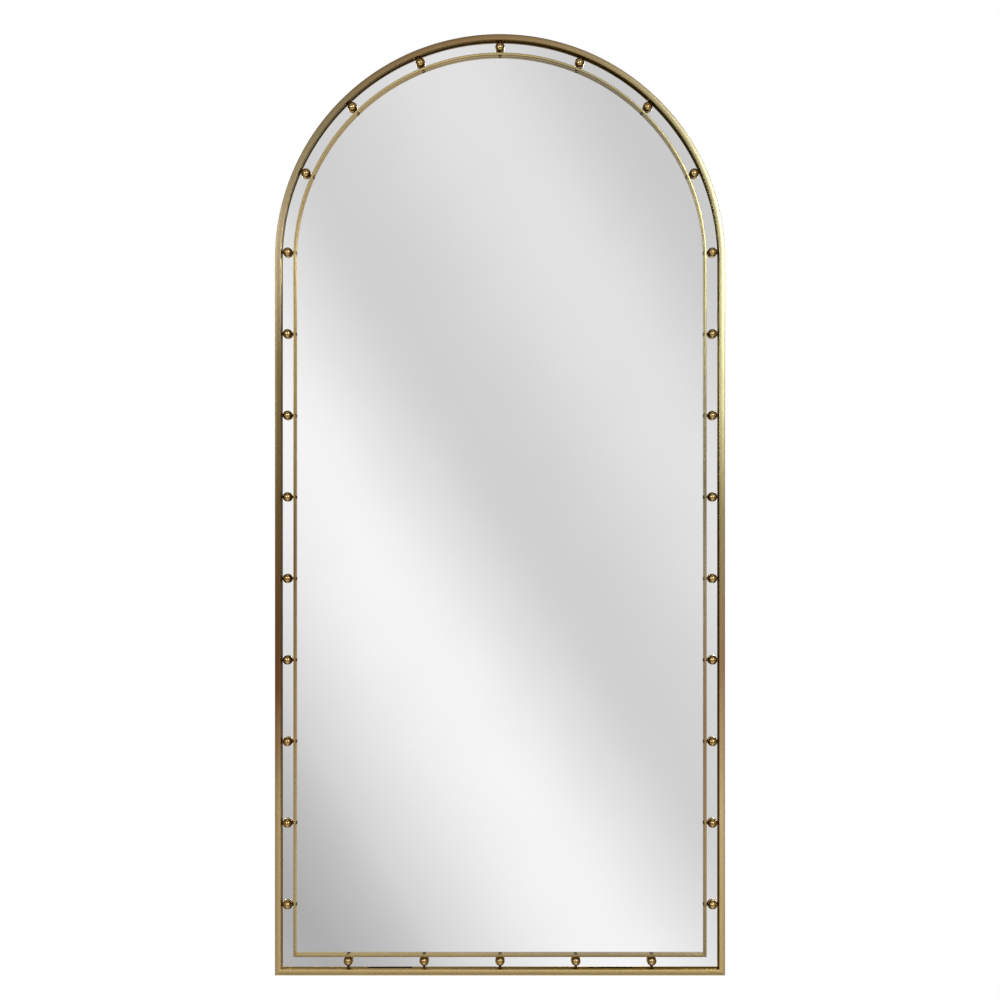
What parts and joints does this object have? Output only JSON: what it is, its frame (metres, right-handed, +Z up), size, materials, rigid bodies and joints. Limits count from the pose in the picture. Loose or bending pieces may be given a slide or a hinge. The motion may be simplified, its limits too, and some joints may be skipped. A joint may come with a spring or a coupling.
{
  "type": "wall mirror",
  "caption": "Tall arched wall mirror: a brass-finished bar frame with a slim inner band held off it by polished balls, and hinged D-rings behind for hanging.",
  "frame": {"origin": "on the wall plane at the back of the frame, midway between the pivots of the two hanger rings", "axes": "+Z up along the mirror's height, +X to the right as seen from the front, +Y into the wall; the glass faces -Y"},
  "size_m": [0.61, 0.035, 1.2759],
  "materials": {
    "frame_finish": "satin antique brass over steel",
    "band_finish": "satin antique brass over steel",
    "pin_metal": "darkened antique brass over steel",
    "ball_brass": "polished",
    "silvered_glass": "polished float glass, silvered behind",
    "black_board": "black-painted fibreboard",
    "tape": "white foam tape",
    "clear_pad": "translucent silicone",
    "block_rubber": "black rubber",
    "clip_steel": "zinc plated",
    "screw_steel": "zinc plated",
    "bracket_steel": "zinc plated",
    "hanger_plate": "nickel plated",
    "hanger_wire": "nickel plated"
  },
  "bodies": {
    "frame": {"arch_rail": "frame_finish", "backing_board": "black_board", "ball_bottom_1": "ball_brass", "ball_bottom_2": "ball_brass", "ball_bottom_3": "ball_brass", "ball_bottom_4": "ball_brass", "ball_bottom_5": "ball_brass", "ball_left_01": "ball_brass", "ball_left_02": "ball_brass", "ball_left_03": "ball_brass", "ball_left_04": "ball_brass", "ball_left_05": "ball_brass", "ball_left_06": "ball_brass", "ball_left_07": "ball_brass", "ball_left_08": "ball_brass", "ball_left_09": "ball_brass", "ball_left_10": "ball_brass", "ball_left_11": "ball_brass", "ball_left_12": "ball_brass", "ball_pins": "pin_metal", "ball_right_01": "ball_brass", "ball_right_02": "ball_brass", "ball_right_03": "ball_brass", "ball_right_04": "ball_brass", "ball_right_05": "ball_brass", "ball_right_06": "ball_brass", "ball_right_07": "ball_brass", "ball_right_08": "ball_brass", "ball_right_09": "ball_brass", "ball_right_10": "ball_brass", "ball_right_11": "ball_brass", "ball_right_12": "ball_brass", "ball_top": "ball_brass", "band_arch": "band_finish", "band_bottom": "band_finish", "band_left": "band_finish", "band_right": "band_finish", "bottom_rail": "frame_finish", "bracket_screws": "screw_steel", "clip_screws": "screw_steel", "glass_pads": "clear_pad", "hanger_bracket_left": "bracket_steel", "hanger_bracket_right": "bracket_steel", "hanger_strap_left": "hanger_plate", "hanger_strap_right": "hanger_plate", "left_stile": "frame_finish", "mirror_glass": "silvered_glass", "mounting_tape": "tape", "retaining_clips": "clip_steel", "right_stile": "frame_finish", "setting_blocks": "block_rubber", "strap_screws": "screw_steel"},
    "ring_left": {"hanger_ring_left": "hanger_wire"},
    "ring_right": {"hanger_ring_right": "hanger_wire"}
  },
  "joints": [
    {"name": "ring_left_swing", "type": "hinge", "parent": "frame", "child": "ring_left", "pos_m": [-0.277, -0.00483, 0], "axis": [1, 0, 0], "range_deg": [0, 180]},
    {"name": "ring_right_swing", "type": "hinge", "parent": "frame", "child": "ring_right", "pos_m": [0.277, -0.00483, 0], "axis": [1, 0, 0], "range_deg": [0, 180]}
  ]
}
